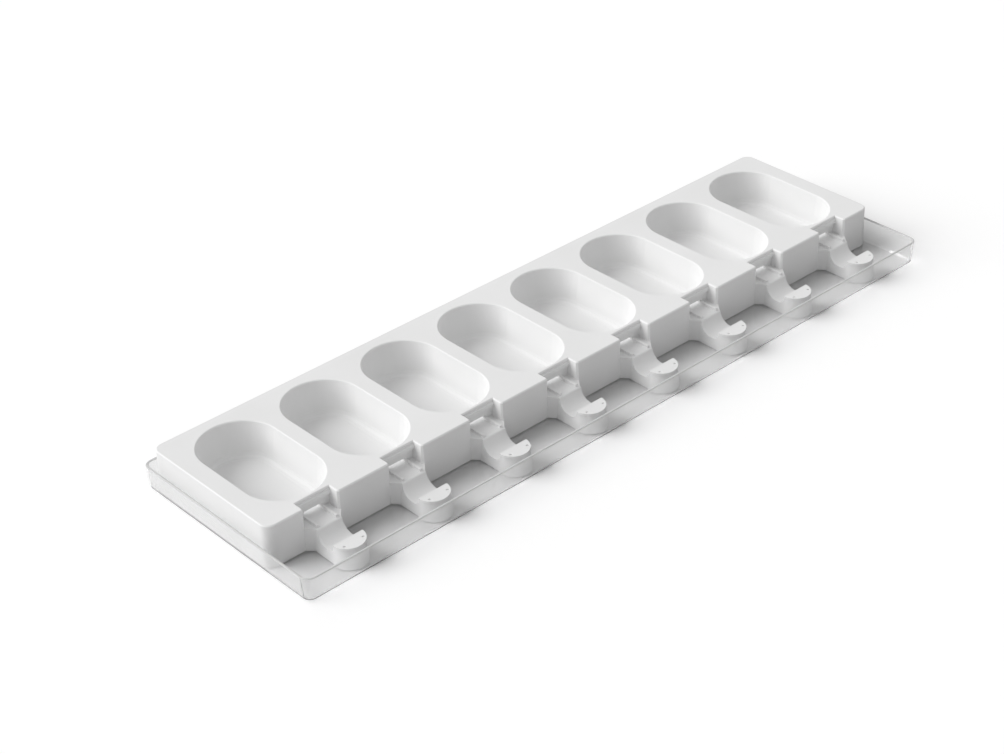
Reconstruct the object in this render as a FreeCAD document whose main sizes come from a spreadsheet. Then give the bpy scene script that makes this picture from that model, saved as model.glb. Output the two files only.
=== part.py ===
import FreeCAD, Part
import math
import os

import Sketcher

# Ice pop mould: a long silicone moulding with eight oval cavities, each with a stick notch and
# a finger tongue, standing in a clear plastic tray. Millimetres, X along the row of cavities,
# Y towards the plain back edge, Z up. The origin is the middle of the tray's underside.

os.makedirs("parts", exist_ok=True)
doc = FreeCAD.newDocument("ice_pop_mould")

# Driving sizes

SIZES = {
    # the row of cavities
    "cavity_count": 8,
    "cavity_pitch": 46.6,
    "cavity_width": 38,
    "cavity_length": 69,
    "cavity_depth": 18,
    "cavity_draft": 7,
    "cavity_floor_round": 3.2,
    "cavity_rim_bevel": 0.4,
    # the block around them
    "end_margin": 9.5,
    "back_margin": 6.8,
    "front_margin": 7.8,
    "block_corner_round": 5,
    "block_edge_bevel": 0.5,
    "skin": 3,
    # the stick notch in front of each cavity
    "notch_width": 18.2,
    "notch_drop": 9.6,
    "notch_wall": 1.9,
    "notch_side_bevel": 0.8,
    "lip_top": 1.6,
    "lip_height": 2.4,
    "lip_proud": 0.8,
    "stick_width": 8.6,
    "stick_thickness": 2,
    "stick_clearance": 0.2,
    "rail_width": 1.2,
    "rail_height": 1.3,
    # the tongue and its grip
    "tongue_skin": 2.2,
    "shelf_reach": 4.7,
    "shelf_edge_bevel": 0.4,
    "neck_width": 13.2,
    "root_length": 5,
    "root_round": 5,
    "leg_slope": 1,
    "trough_height": 5.2,
    "trough_slope": 2.2,
    "trough_leg_round": 6,
    "trough_grip_round": 3,
    "tongue_reach": 24.8,
    "tongue_draft": 4,
    "grip_width": 15.8,
    "grip_height": 10.5,
    "grip_cap_height": 1.3,
    "grip_cap_proud": 0.4,
    "dimple_spacing": 10,
    "dimple_radius": 0.7,
    "dimple_depth": 0.5,
    # the clear tray
    "tray_wall": 1.2,
    "tray_height": 13,
    "tray_draft": 5,
    "tray_corner_round": 2.4,
    "tray_end_clearance": 1,
    "tray_back_clearance": 2.4,
    "tray_front_clearance": 2.45,
    "tray_rim_bevel": 0.3,
}

sheet = doc.addObject("Spreadsheet::Sheet", "dims")
for row, (alias, number) in enumerate(SIZES.items(), start=1):
    sheet.set(f"A{row}", alias)
    sheet.set(f"B{row}", str(number))
    sheet.setAlias(f"B{row}", alias)
doc.recompute()

# Sizes that follow from the driving ones, as expressions on the sheet

ROW_LENGTH = "((dims.cavity_count - 1) * dims.cavity_pitch)"
BLOCK_LENGTH = f"({ROW_LENGTH} + dims.cavity_width + 2 * dims.end_margin)"
BLOCK_DEPTH = "(dims.front_margin + dims.cavity_length + dims.back_margin)"
BLOCK_HEIGHT = "(dims.cavity_depth + dims.skin)"
FIRST_CAVITY = f"(-{ROW_LENGTH} / 2)"
CAVITY_MIDDLE = "(dims.front_margin + dims.cavity_length / 2)"
SHELF = f"({BLOCK_HEIGHT} - dims.notch_drop)"
NOTCH_BACK = "(dims.front_margin - dims.notch_wall)"
CHANNEL_WIDTH = "(dims.stick_width + 2 * dims.stick_clearance)"
SLOT_HEIGHT = "(dims.stick_thickness + dims.stick_clearance)"
GRIP_RADIUS = "(dims.grip_width / 2)"
GRIP_BACK = f"(dims.tongue_reach - {GRIP_RADIUS})"
GRIP_BODY_RADIUS = f"({GRIP_RADIUS} - dims.grip_cap_proud)"
GRIP_BODY_HEIGHT = "(dims.grip_height - dims.grip_cap_height)"
GRIP_FOOT = (
    f"({GRIP_BACK} + {GRIP_BODY_RADIUS}"
    f" + {GRIP_BODY_HEIGHT} * tan(dims.tongue_draft * 1 deg))"
)
CHANNEL_DEPTH = f"({GRIP_FOOT} + dims.tray_front_clearance)"
TRAY_INNER_LENGTH = f"({BLOCK_LENGTH} + 2 * dims.tray_end_clearance)"
TRAY_INNER_DEPTH = f"({CHANNEL_DEPTH} + {BLOCK_DEPTH} + dims.tray_back_clearance)"
BLOCK_FRONT = f"({CHANNEL_DEPTH} - {TRAY_INNER_DEPTH} / 2)"


def value(expression):
    """The present number of an expression on the sheet."""
    return float(sheet.evalExpression(str(expression)))


# Sketches

def new_sketch(body, name, plane, **offset):
    """A sketch on one of the body's own origin planes, moved by expressions for x, y and z."""
    sketch = body.newObject("Sketcher::SketchObject", name)
    support = next(item for item in body.Origin.OriginFeatures if item.Role == plane)
    sketch.AttachmentSupport = [(support, "")]
    sketch.MapMode = "FlatFace"
    for axis, expression in offset.items():
        sketch.setExpression(f"AttachmentOffset.Base.{axis}", expression)
    return sketch


def drive(sketch, expression, kind, *where):
    """Add a constraint of one kind and bind its size to an expression."""
    index = sketch.addConstraint(Sketcher.Constraint(kind, *where, value(expression)))
    name = f"{kind}_{index}"
    sketch.renameConstraint(index, name)
    sketch.setExpression(f"Constraints.{name}", str(expression))


def pin(sketch, item, position, x, y):
    """Hold a point of the sketch at x and y from its origin."""
    drive(sketch, x, "DistanceX", -1, 1, item, position)
    drive(sketch, y, "DistanceY", -1, 1, item, position)


def tie(sketch, kind, *where):
    """Add a constraint that has no size."""
    sketch.addConstraint(Sketcher.Constraint(kind, *where))


def draw_outline(sketch, corners):
    """A closed outline through corners of (x, y) or (x, y, radius), each an expression."""
    points = [FreeCAD.Vector(value(corner[0]), value(corner[1]), 0) for corner in corners]
    count = len(corners)
    before, after, arcs = [], [], []
    for index, corner in enumerate(corners):
        point = points[index]
        back = (points[index - 1] - point).normalize()
        ahead = (points[(index + 1) % count] - point).normalize()
        reach = 0.0
        arc = None
        if len(corner) == 3:
            radius = value(corner[2])
            half_angle = back.getAngle(ahead) / 2
            reach = radius / math.tan(half_angle)
            middle = point + (back + ahead).normalize() * (radius / math.sin(half_angle))
            left_turn = back.cross(ahead).z < 0
            ends = [point + back * reach - middle, point + ahead * reach - middle]
            if not left_turn:
                ends.reverse()
            angles = [math.atan2(end.y, end.x) for end in ends]
            circle = Part.Circle(middle, FreeCAD.Vector(0, 0, 1), radius)
            arc = (Part.ArcOfCircle(circle, angles[0], angles[1]), 1 if left_turn else 2)
        before.append(point + back * reach)
        after.append(point + ahead * reach)
        arcs.append(arc)
    lines = []
    for index in range(count):
        segment = Part.LineSegment(after[index], before[(index + 1) % count])
        lines.append(sketch.addGeometry(segment, False))
    for index, corner in enumerate(corners):
        mark = sketch.addGeometry(Part.Point(points[index]), True)
        pin(sketch, mark, 1, corner[0], corner[1])
        line_in, line_out = lines[index - 1], lines[index]
        if arcs[index] is None:
            tie(sketch, "Coincident", line_in, 2, mark, 1)
            tie(sketch, "Coincident", line_out, 1, mark, 1)
        else:
            shape, first = arcs[index]
            arc = sketch.addGeometry(shape, False)
            tie(sketch, "Tangent", line_in, 2, arc, first)
            tie(sketch, "Tangent", line_out, 1, arc, 3 - first)
            drive(sketch, corner[2], "Radius", arc)
            tie(sketch, "PointOnObject", mark, 1, line_in)
            tie(sketch, "PointOnObject", mark, 1, line_out)


def draw_rectangle(sketch, left, right, near, far, radius=None):
    """A rectangle between two x and two y places, with round corners where a radius is given."""
    rounded = () if radius is None else (radius,)
    corners = [(left, near), (right, near), (right, far), (left, far)]
    draw_outline(sketch, [corner + rounded for corner in corners])


def draw_stadium(sketch, width, length, y_middle):
    """Two straight sides along y joined by half circles."""
    radius = value(width) / 2
    middle = value(y_middle)
    reach = value(length) / 2 - radius
    up = FreeCAD.Vector(0, 0, 1)
    far = FreeCAD.Vector(0, middle + reach, 0)
    near = FreeCAD.Vector(0, middle - reach, 0)
    side = FreeCAD.Vector(radius, 0, 0)
    right = sketch.addGeometry(Part.LineSegment(near + side, far + side), False)
    cap = sketch.addGeometry(Part.ArcOfCircle(Part.Circle(far, up, radius), 0, math.pi), False)
    left = sketch.addGeometry(Part.LineSegment(far - side, near - side), False)
    foot_arc = Part.ArcOfCircle(Part.Circle(near, up, radius), math.pi, 2 * math.pi)
    foot = sketch.addGeometry(foot_arc, False)
    tie(sketch, "Tangent", right, 2, cap, 1)
    tie(sketch, "Tangent", cap, 2, left, 1)
    tie(sketch, "Tangent", left, 2, foot, 1)
    tie(sketch, "Tangent", foot, 2, right, 1)
    tie(sketch, "Equal", cap, foot)
    drive(sketch, f"{width} / 2", "Radius", cap)
    pin(sketch, cap, 3, "0", f"{y_middle} + ({length} - {width}) / 2")
    pin(sketch, foot, 3, "0", f"{y_middle} - ({length} - {width}) / 2")


# Features

NEAR = 0.001
FLOOR_BANDS = 3
DIMPLE_SIDES = 6


def extrude(body, kind, name, sketch, length, taper="0", symmetric=False, reverse=False):
    """A pad or a pocket of one sketch; it has to change the body's volume the right way."""
    volume_before = 0.0 if body.Tip is None else body.Tip.Shape.Volume
    feature = body.newObject(f"PartDesign::{kind}", name)
    feature.Profile = sketch
    feature.SideType = "Symmetric" if symmetric else "One side"
    feature.Reversed = reverse
    feature.setExpression("Length", length)
    feature.setExpression("TaperAngle", taper)
    body.Tip = feature
    doc.recompute()
    grown = feature.Shape.Volume - volume_before
    sound = feature.Shape.isValid() and len(feature.Shape.Solids) == 1
    if not sound or grown == 0 or (grown > 0) != (kind == "Pad"):
        raise RuntimeError(f"{name} changes the volume by {grown:.1f}, sound: {sound}")
    return feature


def near(one, other):
    """Whether two lengths are the same but for rounding."""
    return abs(one - other) < NEAR


def level_at(box, height):
    """Whether a bounding box lies flat at one height."""
    return near(box.ZMin, height) and near(box.ZMax, height)


def bevel_edges(body, name, size, wanted):
    """A bevel on the edges of the body's tip whose bounding boxes pass a test."""
    base = body.Tip
    edges = enumerate(base.Shape.Edges, start=1)
    names = [f"Edge{number}" for number, edge in edges if wanted(edge.BoundBox)]
    if not names:
        raise RuntimeError(f"{name} finds no edge")
    feature = body.newObject("PartDesign::Chamfer", name)
    feature.Base = (base, names)
    feature.setExpression("Size", size)
    body.Tip = feature
    doc.recompute()
    if not feature.Shape.isValid() or len(feature.Shape.Solids) != 1:
        raise RuntimeError(f"{name} breaks the solid")


# The silicone moulding

def add_block(body):
    """The block with round upright corners, open underneath down to an even skin."""
    outline = new_sketch(body, "block_outline", "XY_Plane")
    half = f"{BLOCK_LENGTH} / 2"
    draw_rectangle(outline, f"-{half}", half, "0", BLOCK_DEPTH, "dims.block_corner_round")
    extrude(body, "Pad", "block", outline, BLOCK_HEIGHT)
    hollow = new_sketch(body, "block_hollow_outline", "XY_Plane")
    inner_half = f"({BLOCK_LENGTH} / 2 - dims.skin)"
    inner_round = "dims.block_corner_round - dims.skin"
    inner_back = f"{BLOCK_DEPTH} - dims.skin"
    draw_rectangle(hollow, f"-{inner_half}", inner_half, "dims.skin", inner_back, inner_round)
    extrude(body, "Pocket", "block_hollow", hollow, "dims.cavity_depth", reverse=True)


def add_bowl(body):
    """The outside of one cavity's bowl, an even skin around the cavity."""
    outline = new_sketch(body, "bowl_outline", "XY_Plane", x=FIRST_CAVITY, z=BLOCK_HEIGHT)
    width, length = "(dims.cavity_width + 2 * dims.skin)", "(dims.cavity_length + 2 * dims.skin)"
    draw_stadium(outline, width, length, CAVITY_MIDDLE)
    draft = "-dims.cavity_draft"
    return extrude(body, "Pad", "bowl", outline, BLOCK_HEIGHT, draft, reverse=True)


def add_notch_box(body):
    """The skin under and beside the stick notch, behind the front wall."""
    floor = f"{SHELF} - dims.skin"
    outline = new_sketch(body, "notch_box_outline", "XY_Plane", x=FIRST_CAVITY, z=floor)
    half = "(dims.notch_width / 2 + dims.skin)"
    far = "dims.front_margin + dims.skin"
    draw_rectangle(outline, f"-{half}", half, "dims.skin / 2", far)
    return extrude(body, "Pad", "notch_box", outline, "dims.notch_drop + dims.skin / 2")


def add_tongue(body):
    """The tongue up to the height of the notch's floor: a flared root and a drafted neck."""
    embedded = "(dims.skin / 2)"
    outline = new_sketch(body, "root_outline", "XY_Plane", x=FIRST_CAVITY, z=SHELF)
    wide = "(dims.notch_width / 2 + dims.notch_side_bevel + dims.stick_clearance)"
    narrow = "(dims.neck_width / 2 - dims.root_length / 8)"
    bend = "-dims.root_length"
    end = "-(dims.root_length + dims.root_round)"
    draw_outline(outline, [
        (f"-{wide}", embedded),
        (f"-{wide}", "0"),
        (f"-{narrow}", bend, "dims.root_round"),
        (f"-{narrow}", end),
        (narrow, end),
        (narrow, bend, "dims.root_round"),
        (wide, "0"),
        (wide, embedded),
    ])
    root = extrude(body, "Pad", "root", outline, SHELF, reverse=True)
    profile = new_sketch(body, "neck_profile", "XZ_Plane", x=FIRST_CAVITY, z=f"-{embedded}")
    top = "(dims.neck_width / 2)"
    foot = f"({top} + {SHELF} * tan(dims.tongue_draft * 1 deg))"
    draw_outline(profile, [(f"-{foot}", "0"), (foot, "0"), (top, SHELF), (f"-{top}", SHELF)])
    length = f"{embedded} + {GRIP_BACK} + dims.grip_cap_height"
    return [root, extrude(body, "Pad", "neck", profile, length)]


def draw_half_disc(sketch, radius):
    """The grip's plan: a straight back edge and a half circle towards the front."""
    middle = FreeCAD.Vector(0, -value(GRIP_BACK), 0)
    side = FreeCAD.Vector(value(radius), 0, 0)
    circle = Part.Circle(middle, FreeCAD.Vector(0, 0, 1), value(radius))
    arc = sketch.addGeometry(Part.ArcOfCircle(circle, math.pi, 2 * math.pi), False)
    back = sketch.addGeometry(Part.LineSegment(middle + side, middle - side), False)
    tie(sketch, "Coincident", arc, 2, back, 1)
    tie(sketch, "Coincident", arc, 1, back, 2)
    tie(sketch, "PointOnObject", arc, 3, back)
    tie(sketch, "Horizontal", back)
    drive(sketch, radius, "Radius", arc)
    pin(sketch, arc, 3, "0", f"-{GRIP_BACK}")


def add_grip(body):
    """The upright finger grip, and the cap that stands a little proud around its top."""
    outline = new_sketch(body, "grip_outline", "XY_Plane", x=FIRST_CAVITY, z=GRIP_BODY_HEIGHT)
    draw_half_disc(outline, GRIP_BODY_RADIUS)
    draft = "dims.tongue_draft"
    grip = extrude(body, "Pad", "grip", outline, GRIP_BODY_HEIGHT, draft, reverse=True)
    rim = new_sketch(body, "grip_cap_outline", "XY_Plane", x=FIRST_CAVITY, z=GRIP_BODY_HEIGHT)
    draw_half_disc(rim, GRIP_RADIUS)
    return [grip, extrude(body, "Pad", "grip_cap", rim, "dims.grip_cap_height")]


def floor_bend_at(share):
    """The cavity wall's inset and height above the floor at a share of the bend into the floor."""
    angle = f"(dims.cavity_draft + (90 - dims.cavity_draft) * {share}) * 1 deg"
    lean = "dims.cavity_draft * 1 deg"
    radius = "dims.cavity_floor_round"
    middle = f"((dims.cavity_depth - {radius}) * tan({lean}) + {radius} / cos({lean}))"
    return f"({middle} - {radius} * cos({angle}))", f"({radius} * (1 - sin({angle})))"


def add_cavity(body):
    """One cavity: drafted walls that bend into a flat floor in three bands."""
    stations = [("0", "dims.cavity_depth")]
    stations += [floor_bend_at(f"{band} / {FLOOR_BANDS}") for band in range(FLOOR_BANDS + 1)]
    pockets = []
    for number, (upper, lower) in enumerate(zip(stations, stations[1:])):
        inset, height = upper
        name = f"cavity_{number}"
        level = f"dims.skin + {height}"
        outline = new_sketch(body, f"{name}_outline", "XY_Plane", x=FIRST_CAVITY, z=level)
        width, length = f"(dims.cavity_width - 2 * {inset})", f"(dims.cavity_length - 2 * {inset})"
        draw_stadium(outline, width, length, CAVITY_MIDDLE)
        depth = f"({height} - {lower[1]})"
        draft = f"-atan(({lower[0]} - {inset}) / {depth})"
        pockets.append(extrude(body, "Pocket", name, outline, depth, draft))
    return pockets


def notch_wall_at(depth):
    """Where the notch's back wall lies at a depth below the top; it leans with the cavity."""
    return f"({NOTCH_BACK} + {depth} * tan(dims.cavity_draft * 1 deg))"


def add_notch(body):
    """The stick notch: a flat shelf and a leaning back wall with a lip over the stick."""
    profile = new_sketch(body, "notch_profile", "YZ_Plane", z=FIRST_CAVITY)
    before = "-dims.skin"
    above = f"({BLOCK_HEIGHT} + dims.skin)"
    lip_foot = "(dims.lip_top + dims.lip_height)"
    lip_front = f"({notch_wall_at('dims.lip_top')} - dims.lip_proud)"
    draw_outline(profile, [
        (before, SHELF),
        (notch_wall_at("dims.notch_drop"), SHELF),
        (notch_wall_at(lip_foot), f"{BLOCK_HEIGHT} - {lip_foot}"),
        (lip_front, f"{BLOCK_HEIGHT} - {lip_foot} + dims.lip_proud / 2"),
        (lip_front, f"{BLOCK_HEIGHT} - dims.lip_top - dims.lip_proud / 2"),
        (notch_wall_at("dims.lip_top"), f"{BLOCK_HEIGHT} - dims.lip_top"),
        (NOTCH_BACK, BLOCK_HEIGHT),
        (NOTCH_BACK, above),
        (before, above),
    ])
    return extrude(body, "Pocket", "notch", profile, "dims.notch_width", symmetric=True)


def add_trough(body):
    """The hollow of the tongue's back, from the shelf down the leg and up to the grip."""
    outline = new_sketch(body, "trough_outline", "YZ_Plane", z=FIRST_CAVITY)
    above = BLOCK_HEIGHT
    beyond = "-(dims.tongue_reach + dims.skin)"
    draw_outline(outline, [
        ("-dims.shelf_reach", above),
        ("-dims.shelf_reach", SHELF),
        ("-(dims.shelf_reach + dims.leg_slope)", "dims.trough_height", "dims.trough_leg_round"),
        (f"-({GRIP_BACK} - dims.trough_slope)", "dims.trough_height", "dims.trough_grip_round"),
        (f"-{GRIP_BACK}", "dims.grip_height"),
        (beyond, "dims.grip_height"),
        (beyond, above),
    ])
    return extrude(body, "Pocket", "trough", outline, "dims.cavity_width", symmetric=True)


def add_tongue_hollow(body):
    """The open space under the tongue, which leaves a skin that can bend."""
    outline = new_sketch(body, "tongue_hollow_outline", "YZ_Plane", z=FIRST_CAVITY)
    below = "-dims.skin"
    roof = f"({SHELF} - dims.tongue_skin)"
    bend = "(dims.trough_height - dims.tongue_skin)"
    leg_top = "-(dims.shelf_reach - dims.tongue_skin)"
    leg_foot = "-(dims.shelf_reach + dims.leg_slope - dims.tongue_skin)"
    grip_side = f"-({GRIP_BACK} - dims.trough_slope)"
    draw_outline(outline, [
        ("0", below),
        ("0", roof),
        (leg_top, roof),
        (leg_foot, bend),
        (grip_side, bend),
        (grip_side, below),
    ])
    width = "dims.neck_width - 2 * dims.tongue_skin"
    return extrude(body, "Pocket", "tongue_hollow", outline, width, symmetric=True)


def add_stick_way(body):
    """Two rails that guide the stick over the shelf, and the slot through the notch's wall."""
    embedded = "dims.tongue_skin / 2"
    root = f"{SHELF} - {embedded}"
    rails = new_sketch(body, "rail_outline", "XY_Plane", x=FIRST_CAVITY, z=root)
    inner = f"({CHANNEL_WIDTH} / 2)"
    outer = f"({CHANNEL_WIDTH} / 2 + dims.rail_width)"
    near = "-(dims.shelf_reach - dims.rail_width)"
    far = f"{notch_wall_at('dims.notch_drop')} + dims.notch_wall / 4"
    draw_rectangle(rails, inner, outer, near, far)
    draw_rectangle(rails, f"-{outer}", f"-{inner}", near, far)
    guide = extrude(body, "Pad", "rails", rails, f"dims.rail_height + {embedded}")
    outline = new_sketch(body, "slot_outline", "XY_Plane", x=FIRST_CAVITY, z=SHELF)
    end = f"{notch_wall_at('dims.notch_drop')} + 2 * dims.notch_wall"
    draw_rectangle(outline, f"-{inner}", inner, NOTCH_BACK, end)
    return [guide, extrude(body, "Pocket", "slot", outline, SLOT_HEIGHT, reverse=True)]


def add_dimples(body):
    """Two small six-sided dimples in the top of the grip."""
    outline = new_sketch(body, "dimple_outline", "XY_Plane", x=FIRST_CAVITY, z="dims.grip_height")
    for side in (-1, 1):
        corners = []
        for number in range(DIMPLE_SIDES):
            angle = f"({number} + 1 / 2) * 360 / {DIMPLE_SIDES} * 1 deg"
            x = f"{side} * dims.dimple_spacing / 2 + dims.dimple_radius * cos({angle})"
            y = f"-({GRIP_BACK} + {GRIP_RADIUS} / 2) + dims.dimple_radius * sin({angle})"
            corners.append((x, y))
        draw_outline(outline, corners)
    return extrude(body, "Pocket", "dimples", outline, "dims.dimple_depth")


def repeat_along_row(body, originals):
    """Repeat one cavity with its notch and tongue along the whole row."""
    row = body.newObject("PartDesign::LinearPattern", "row")
    row.Originals = originals
    along = next(item for item in body.Origin.OriginFeatures if item.Role == "X_Axis")
    row.Direction = (along, [""])
    row.Mode = "Spacing"
    row.setExpression("Offset", "dims.cavity_pitch")
    row.setExpression("Occurrences", "dims.cavity_count")
    body.Tip = row
    doc.recompute()


def bevel_mould(body):
    """The bevels on the moulding's edges."""
    shelf, top = value(SHELF), value(BLOCK_HEIGHT)
    notch_half = value("dims.notch_width / 2")
    row_start, pitch = value(FIRST_CAVITY), value("dims.cavity_pitch")

    def beside_axis(x):
        """How far x lies from the nearest cavity's axis."""
        return abs(x - row_start - pitch * round((x - row_start) / pitch))

    def at_notch_mouth(box):
        upright = near(box.XMin, box.XMax) and near(box.YMin, 0) and near(box.YMax, 0)
        tall = near(box.ZMin, shelf) and near(box.ZMax, top)
        return upright and tall and near(beside_axis(box.XMin), notch_half)

    def at_cavity_rim(box):
        inside = value("dims.front_margin") - NEAR
        return level_at(box, top) and box.YMin > inside and box.YMax < value(
            "dims.front_margin + dims.cavity_length") + NEAR

    def at_block_edge(box):
        return level_at(box, top) and not at_cavity_rim(box)

    def at_shelf_edge(box):
        return level_at(box, shelf) and near(box.YMin, box.YMax) and near(
            box.YMin, -value("dims.shelf_reach"))

    bevel_edges(body, "notch_mouths", "dims.notch_side_bevel", at_notch_mouth)
    bevel_edges(body, "block_edges", "dims.block_edge_bevel", at_block_edge)
    bevel_edges(body, "cavity_rims", "dims.cavity_rim_bevel", at_cavity_rim)
    bevel_edges(body, "shelf_edges", "dims.shelf_edge_bevel", at_shelf_edge)


def make_mould():
    body = doc.addObject("PartDesign::Body", "silicone_mould")
    body.Label = "silicone_mould"
    body.setExpression("Placement.Base.y", BLOCK_FRONT)
    body.setExpression("Placement.Base.z", "dims.tray_wall")
    add_block(body)
    repeated = [
        add_bowl(body),
        add_notch_box(body),
        *add_tongue(body),
        *add_grip(body),
        *add_cavity(body),
        add_notch(body),
        add_trough(body),
        add_tongue_hollow(body),
        *add_stick_way(body),
        add_dimples(body),
    ]
    repeat_along_row(body, repeated)
    bevel_mould(body)
    return body


# The clear tray

def make_tray():
    """A shallow tray with drafted walls of one thickness, open at the top."""
    body = doc.addObject("PartDesign::Body", "clear_tray")
    body.Label = "clear_tray"
    outline = new_sketch(body, "tray_outline", "XY_Plane")
    half_length = f"({TRAY_INNER_LENGTH} / 2 + dims.tray_wall)"
    half_depth = f"({TRAY_INNER_DEPTH} / 2 + dims.tray_wall)"
    sides = (f"-{half_length}", half_length, f"-{half_depth}", half_depth)
    draw_rectangle(outline, *sides, "(dims.tray_corner_round + dims.tray_wall)")
    extrude(body, "Pad", "tray", outline, "dims.tray_height", "dims.tray_draft")
    inside = new_sketch(body, "tray_inside_outline", "XY_Plane", z="dims.tray_height")
    height = "(dims.tray_height - dims.tray_wall)"
    spread = f"{height} * tan(dims.tray_draft * 1 deg)"
    half_length = f"({TRAY_INNER_LENGTH} / 2 + {spread})"
    half_depth = f"({TRAY_INNER_DEPTH} / 2 + {spread})"
    sides = (f"-{half_length}", half_length, f"-{half_depth}", half_depth)
    draw_rectangle(inside, *sides, f"(dims.tray_corner_round + {spread})")
    extrude(body, "Pocket", "tray_inside", inside, height, "-dims.tray_draft")
    floor, top = value("dims.tray_wall"), value("dims.tray_height")
    inner = "dims.tray_end_clearance"
    outer = f"{inner} + dims.tray_wall / 2"
    bevel_edges(body, "tray_floor_inside", inner, lambda box: level_at(box, floor))
    bevel_edges(body, "tray_floor_outside", outer, lambda box: level_at(box, 0))
    rim = "dims.tray_rim_bevel"
    bevel_edges(body, "tray_rim", rim, lambda box: level_at(box, top))
    return body


bodies = [make_mould(), make_tray()]
doc.recompute()

for item in doc.Objects:
    if "Invalid" in item.State or "Error" in item.State:
        raise RuntimeError(f"{item.Name} is {item.State}")
for body in bodies:
    shape = body.Shape
    if shape.isNull() or not shape.isValid() or len(shape.Solids) != 1:
        raise RuntimeError(f"{body.Label} has no single valid solid")
    box = shape.BoundBox
    print(body.Label, f"{box.XLength:.1f} x {box.YLength:.1f} x {box.ZLength:.1f} mm",
          f"{shape.Volume / 1000:.1f} cm3", len(shape.Faces), "faces")
    shape.exportStep(f"parts/{body.Label}.step")
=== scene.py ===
import math

import bpy
from mathutils import Matrix, Vector

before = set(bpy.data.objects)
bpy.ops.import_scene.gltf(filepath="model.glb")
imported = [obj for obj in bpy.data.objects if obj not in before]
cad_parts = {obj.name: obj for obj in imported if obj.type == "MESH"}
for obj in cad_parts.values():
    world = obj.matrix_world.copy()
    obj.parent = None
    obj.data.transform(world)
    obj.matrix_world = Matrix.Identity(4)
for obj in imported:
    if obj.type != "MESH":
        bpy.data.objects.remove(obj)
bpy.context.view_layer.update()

# Camera of the photo: place and clip distances in metres, sensor in millimetres

CAMERA_PLACE = Vector((-0.5820, -0.6363, 0.5556))
CAMERA_RIGHT = Vector((0.7406, -0.6708, -0.0393))
CAMERA_DOWN = Vector((-0.3902, -0.3818, -0.8378))
IMAGE_WIDTH = 1004
FOCAL_PIXELS = 2161.3
SENSOR_WIDTH = 36
CLIP_START = 0.05
CLIP_END = 50

# Key lamp, in watts per square metre, and the white sky as it lights and as it is seen

KEY_DIRECTION = Vector((2.3, -1.9, -2.0))
KEY_STRENGTH = 2.3
KEY_ANGLE = math.radians(50)
SKY_STRENGTH = 0.535
SKY_SEEN = 1
WHITE = (1, 1, 1, 1)
HALF_A_BOUNCE = 0.5

# Floor: size in metres, and its white as it lights the part and as it is seen

FLOOR_HALF = 6.0
FLOOR_DROP = 0.0002
FLOOR_ALBEDO = 0.65
FLOOR_SEEN = 1.07

# Noises are given as waves per metre and detail, bumps as strength and depth in metres

NOISE_MIDDLE = (0.3, 0.7)
UNIT = (0, 1)

SILICONE_DARK = (0.805, 0.805, 0.803, 1)
SILICONE_LIGHT = (0.835, 0.835, 0.835, 1)
SILICONE_MOTTLE = (28, 3)
SILICONE_SATIN = (90, 4)
SILICONE_GRAIN = (2200, 3)
SILICONE_ROUGHNESS = (0.56, 0.68)
SILICONE_SPECULAR = 0.25
SILICONE_BUMP = (0.25, 0.00005)

PLASTIC_COLOUR = (0.95, 0.95, 0.95, 1)
PLASTIC_TRANSMISSION = 0.87
PLASTIC_IOR = 1.58
PLASTIC_POLISH = (60, 3)
PLASTIC_WAVES = (35, 2)
PLASTIC_ROUGHNESS = (0.03, 0.07)
PLASTIC_BUMP = (0.04, 0.0002)
PLASTIC_SHADOW = (0.8, 0.8, 0.805, 1)
PLASTIC_TINT = (0.5, 0.5, 0.5, 1)
PLASTIC_DENSITY = 30

# The tray's painted rim line, a grey band that stands in for the clear rim's refraction line: the
# heights in metres between which it comes in, its cover and colour

PAINTED_RIM_LINE_HEIGHTS = (0.0126, 0.0128)
PAINTED_RIM_LINE_COVER = 0.8
PAINTED_RIM_LINE_COLOUR = (0.66, 0.66, 0.66, 1)


def node_material(name):
    """A material with an empty node tree and its output node."""
    material = bpy.data.materials.new(name)
    material.use_nodes = True
    nodes = material.node_tree.nodes
    nodes.clear()
    output = nodes.new("ShaderNodeOutputMaterial")
    return material, nodes, material.node_tree.links, output


def set_inputs(node, values):
    """Give inputs of a node, by name, their plain values."""
    for name, value in values.items():
        node.inputs[name].default_value = value


def noise(nodes, links, position, pattern):
    """A noise texture of a pattern's scale and detail."""
    scale, detail = pattern
    texture = nodes.new("ShaderNodeTexNoise")
    set_inputs(texture, {"Scale": scale, "Detail": detail})
    links.new(position, texture.inputs["Vector"])
    return texture.outputs["Fac"]


def map_range(nodes, links, value, known, wanted):
    """Map a value from a known range to a wanted one and hold it there."""
    mapping = nodes.new("ShaderNodeMapRange")
    ends = ("From Min", "From Max", "To Min", "To Max")
    set_inputs(mapping, dict(zip(ends, known + wanted)))
    links.new(value, mapping.inputs["Value"])
    return mapping.outputs["Result"]


def noise_range(nodes, links, position, pattern, wanted):
    """A noise whose middle values fill a wanted range."""
    value = noise(nodes, links, position, pattern)
    return map_range(nodes, links, value, NOISE_MIDDLE, wanted)


def bump_normal(nodes, links, position, pattern, relief):
    """A normal that a noise bumps, with a relief's strength and depth."""
    strength, distance = relief
    bump = nodes.new("ShaderNodeBump")
    set_inputs(bump, {"Strength": strength, "Distance": distance})
    links.new(noise(nodes, links, position, pattern), bump.inputs["Height"])
    return bump.outputs["Normal"]


def math_node(nodes, links, operation, first, second):
    """A Math node on a socket and a second socket or number."""
    node = nodes.new("ShaderNodeMath")
    node.operation = operation
    links.new(first, node.inputs[0])
    if isinstance(second, (int, float)):
        node.inputs[1].default_value = second
    else:
        links.new(second, node.inputs[1])
    return node.outputs["Value"]


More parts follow.
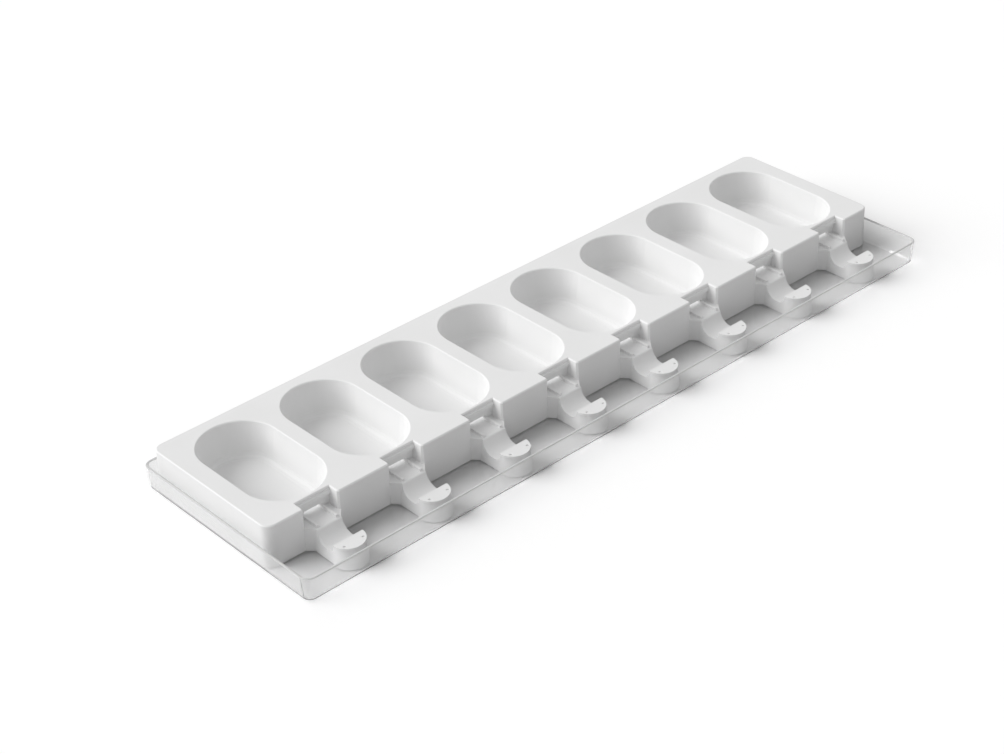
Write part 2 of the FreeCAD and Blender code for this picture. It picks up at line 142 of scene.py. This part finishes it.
def mix_shader(nodes, links, factor, first, second):
    """A Mix Shader node between two shader sockets."""
    node = nodes.new("ShaderNodeMixShader")
    links.new(factor, node.inputs["Fac"])
    links.new(first, node.inputs[1])
    links.new(second, node.inputs[2])
    return node.outputs["Shader"]


def silicone_material():
    """White moulded silicone: satin, faintly mottled, with a fine moulded grain."""
    material, nodes, links, output = node_material("white_silicone")
    position = nodes.new("ShaderNodeTexCoord").outputs["Object"]
    shader = nodes.new("ShaderNodeBsdfPrincipled")
    tone = nodes.new("ShaderNodeMix")
    tone.data_type = "RGBA"
    set_inputs(tone, {"A": SILICONE_DARK, "B": SILICONE_LIGHT})
    mottle = noise_range(nodes, links, position, SILICONE_MOTTLE, UNIT)
    links.new(mottle, tone.inputs["Factor"])
    links.new(tone.outputs["Result"], shader.inputs["Base Color"])
    satin = noise_range(nodes, links, position, SILICONE_SATIN, SILICONE_ROUGHNESS)
    links.new(satin, shader.inputs["Roughness"])
    set_inputs(shader, {"Specular IOR Level": SILICONE_SPECULAR})
    grain = bump_normal(nodes, links, position, SILICONE_GRAIN, SILICONE_BUMP)
    links.new(grain, shader.inputs["Normal"])
    links.new(shader.outputs["BSDF"], output.inputs["Surface"])
    return material


def painted_rim_line(nodes, links, position, clear):
    """A clear shader, covered at the rim height by a grey diffuse one that paints the rim's
    refraction line.
    """
    height = nodes.new("ShaderNodeSeparateXYZ")
    links.new(position, height.inputs["Vector"])
    # Painted rim line: a grey diffuse cover at the rim height, in place of the clear rim's
    # refraction line
    painted_line_cover = map_range(nodes, links, height.outputs["Z"], PAINTED_RIM_LINE_HEIGHTS, (0, PAINTED_RIM_LINE_COVER))
    rim_line_paint = nodes.new("ShaderNodeBsdfDiffuse")
    set_inputs(rim_line_paint, {"Color": PAINTED_RIM_LINE_COLOUR})
    return mix_shader(nodes, links, painted_line_cover, clear, rim_line_paint.outputs["BSDF"])


def clear_plastic_material():
    """Clear formed plastic with a painted grey rim line, which lets the lamps through."""
    material, nodes, links, output = node_material("clear_plastic")
    position = nodes.new("ShaderNodeTexCoord").outputs["Object"]
    shader = nodes.new("ShaderNodeBsdfPrincipled")
    set_inputs(shader, {
        "Base Color": PLASTIC_COLOUR,
        "Transmission Weight": PLASTIC_TRANSMISSION,
        "IOR": PLASTIC_IOR,
    })
    polish = noise_range(nodes, links, position, PLASTIC_POLISH, PLASTIC_ROUGHNESS)
    links.new(polish, shader.inputs["Roughness"])
    waves = bump_normal(nodes, links, position, PLASTIC_WAVES, PLASTIC_BUMP)
    links.new(waves, shader.inputs["Normal"])
    # The grey rim line is painted on here, at the rim height
    seen = painted_rim_line(nodes, links, position, shader.outputs["BSDF"])
    open_way = nodes.new("ShaderNodeBsdfTransparent")
    set_inputs(open_way, {"Color": PLASTIC_SHADOW})
    shadow_ray = nodes.new("ShaderNodeLightPath").outputs["Is Shadow Ray"]
    surface = mix_shader(nodes, links, shadow_ray, seen, open_way.outputs["BSDF"])
    links.new(surface, output.inputs["Surface"])
    tint = nodes.new("ShaderNodeVolumeAbsorption")
    set_inputs(tint, {"Color": PLASTIC_TINT, "Density": PLASTIC_DENSITY})
    links.new(tint.outputs["Volume"], output.inputs["Volume"])
    return material


def seen_directly(nodes, links):
    """1 for camera, mirror and see-through rays, 0 for the rays that only carry light."""
    path = nodes.new("ShaderNodeLightPath").outputs
    mirror = math_node(nodes, links, "MAXIMUM", path["Is Glossy Ray"], path["Is Transmission Ray"])
    seen = math_node(nodes, links, "MAXIMUM", path["Is Camera Ray"], mirror)
    first = math_node(nodes, links, "LESS_THAN", path["Diffuse Depth"], HALF_A_BOUNCE)
    return math_node(nodes, links, "MULTIPLY", seen, first)


def floor_material():
    """Plain white floor: it keeps the shadow and shows white elsewhere."""
    material, nodes, links, output = node_material("white_floor")
    shader = nodes.new("ShaderNodeBsdfDiffuse")
    seen = seen_directly(nodes, links)
    level = map_range(nodes, links, seen, UNIT, (FLOOR_ALBEDO, FLOOR_SEEN))
    links.new(level, shader.inputs["Color"])
    links.new(shader.outputs["BSDF"], output.inputs["Surface"])
    return material


def make_camera():
    """The camera of the photograph."""
    data = bpy.data.cameras.new("camera")
    data.sensor_width = SENSOR_WIDTH
    data.lens = FOCAL_PIXELS / IMAGE_WIDTH * SENSOR_WIDTH
    data.clip_start, data.clip_end = CLIP_START, CLIP_END
    camera = bpy.data.objects.new("camera", data)
    right = CAMERA_RIGHT.normalized()
    forward = right.cross(CAMERA_DOWN).normalized()
    down = forward.cross(right)
    turn = Matrix((right, -down, -forward)).transposed()
    camera.matrix_world = Matrix.Translation(CAMERA_PLACE) @ turn.to_4x4()
    bpy.context.collection.objects.link(camera)
    bpy.context.scene.camera = camera


def make_key():
    """A soft key lamp from the back left."""
    data = bpy.data.lights.new("key", "SUN")
    data.energy = KEY_STRENGTH
    data.angle = KEY_ANGLE
    key = bpy.data.objects.new("key", data)
    key.rotation_mode = "QUATERNION"
    key.rotation_quaternion = KEY_DIRECTION.to_track_quat("-Z", "Y")
    bpy.context.collection.objects.link(key)


def make_sky():
    """An even white sky that lights less than it shows."""
    world = bpy.data.worlds.new("sky")
    bpy.context.scene.world = world
    world.use_nodes = True
    nodes, links = world.node_tree.nodes, world.node_tree.links
    nodes.clear()
    background = nodes.new("ShaderNodeBackground")
    set_inputs(background, {"Color": WHITE})
    seen = seen_directly(nodes, links)
    level = map_range(nodes, links, seen, UNIT, (SKY_STRENGTH, SKY_SEEN))
    links.new(level, background.inputs["Strength"])
    output = nodes.new("ShaderNodeOutputWorld")
    links.new(background.outputs["Background"], output.inputs["Surface"])


def make_floor():
    """A white square floor just below the part."""
    mesh = bpy.data.meshes.new("floor")
    signs = ((-1, -1), (1, -1), (1, 1), (-1, 1))
    corners = [(FLOOR_HALF * x, FLOOR_HALF * y, -FLOOR_DROP) for x, y in signs]
    mesh.from_pydata(corners, [], [(0, 1, 2, 3)])
    mesh.materials.append(floor_material())
    floor = bpy.data.objects.new("floor", mesh)
    bpy.context.collection.objects.link(floor)


def dress(node, material):
    """Give every material slot of a CAD node one material."""
    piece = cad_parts[node]
    if not piece.material_slots:
        piece.data.materials.append(material)
    for slot in piece.material_slots:
        slot.material = material


bpy.context.scene.view_settings.view_transform = "Standard"
make_camera()
make_key()
make_sky()
make_floor()
dress("silicone_mould", silicone_material())
dress("clear_tray", clear_plastic_material())
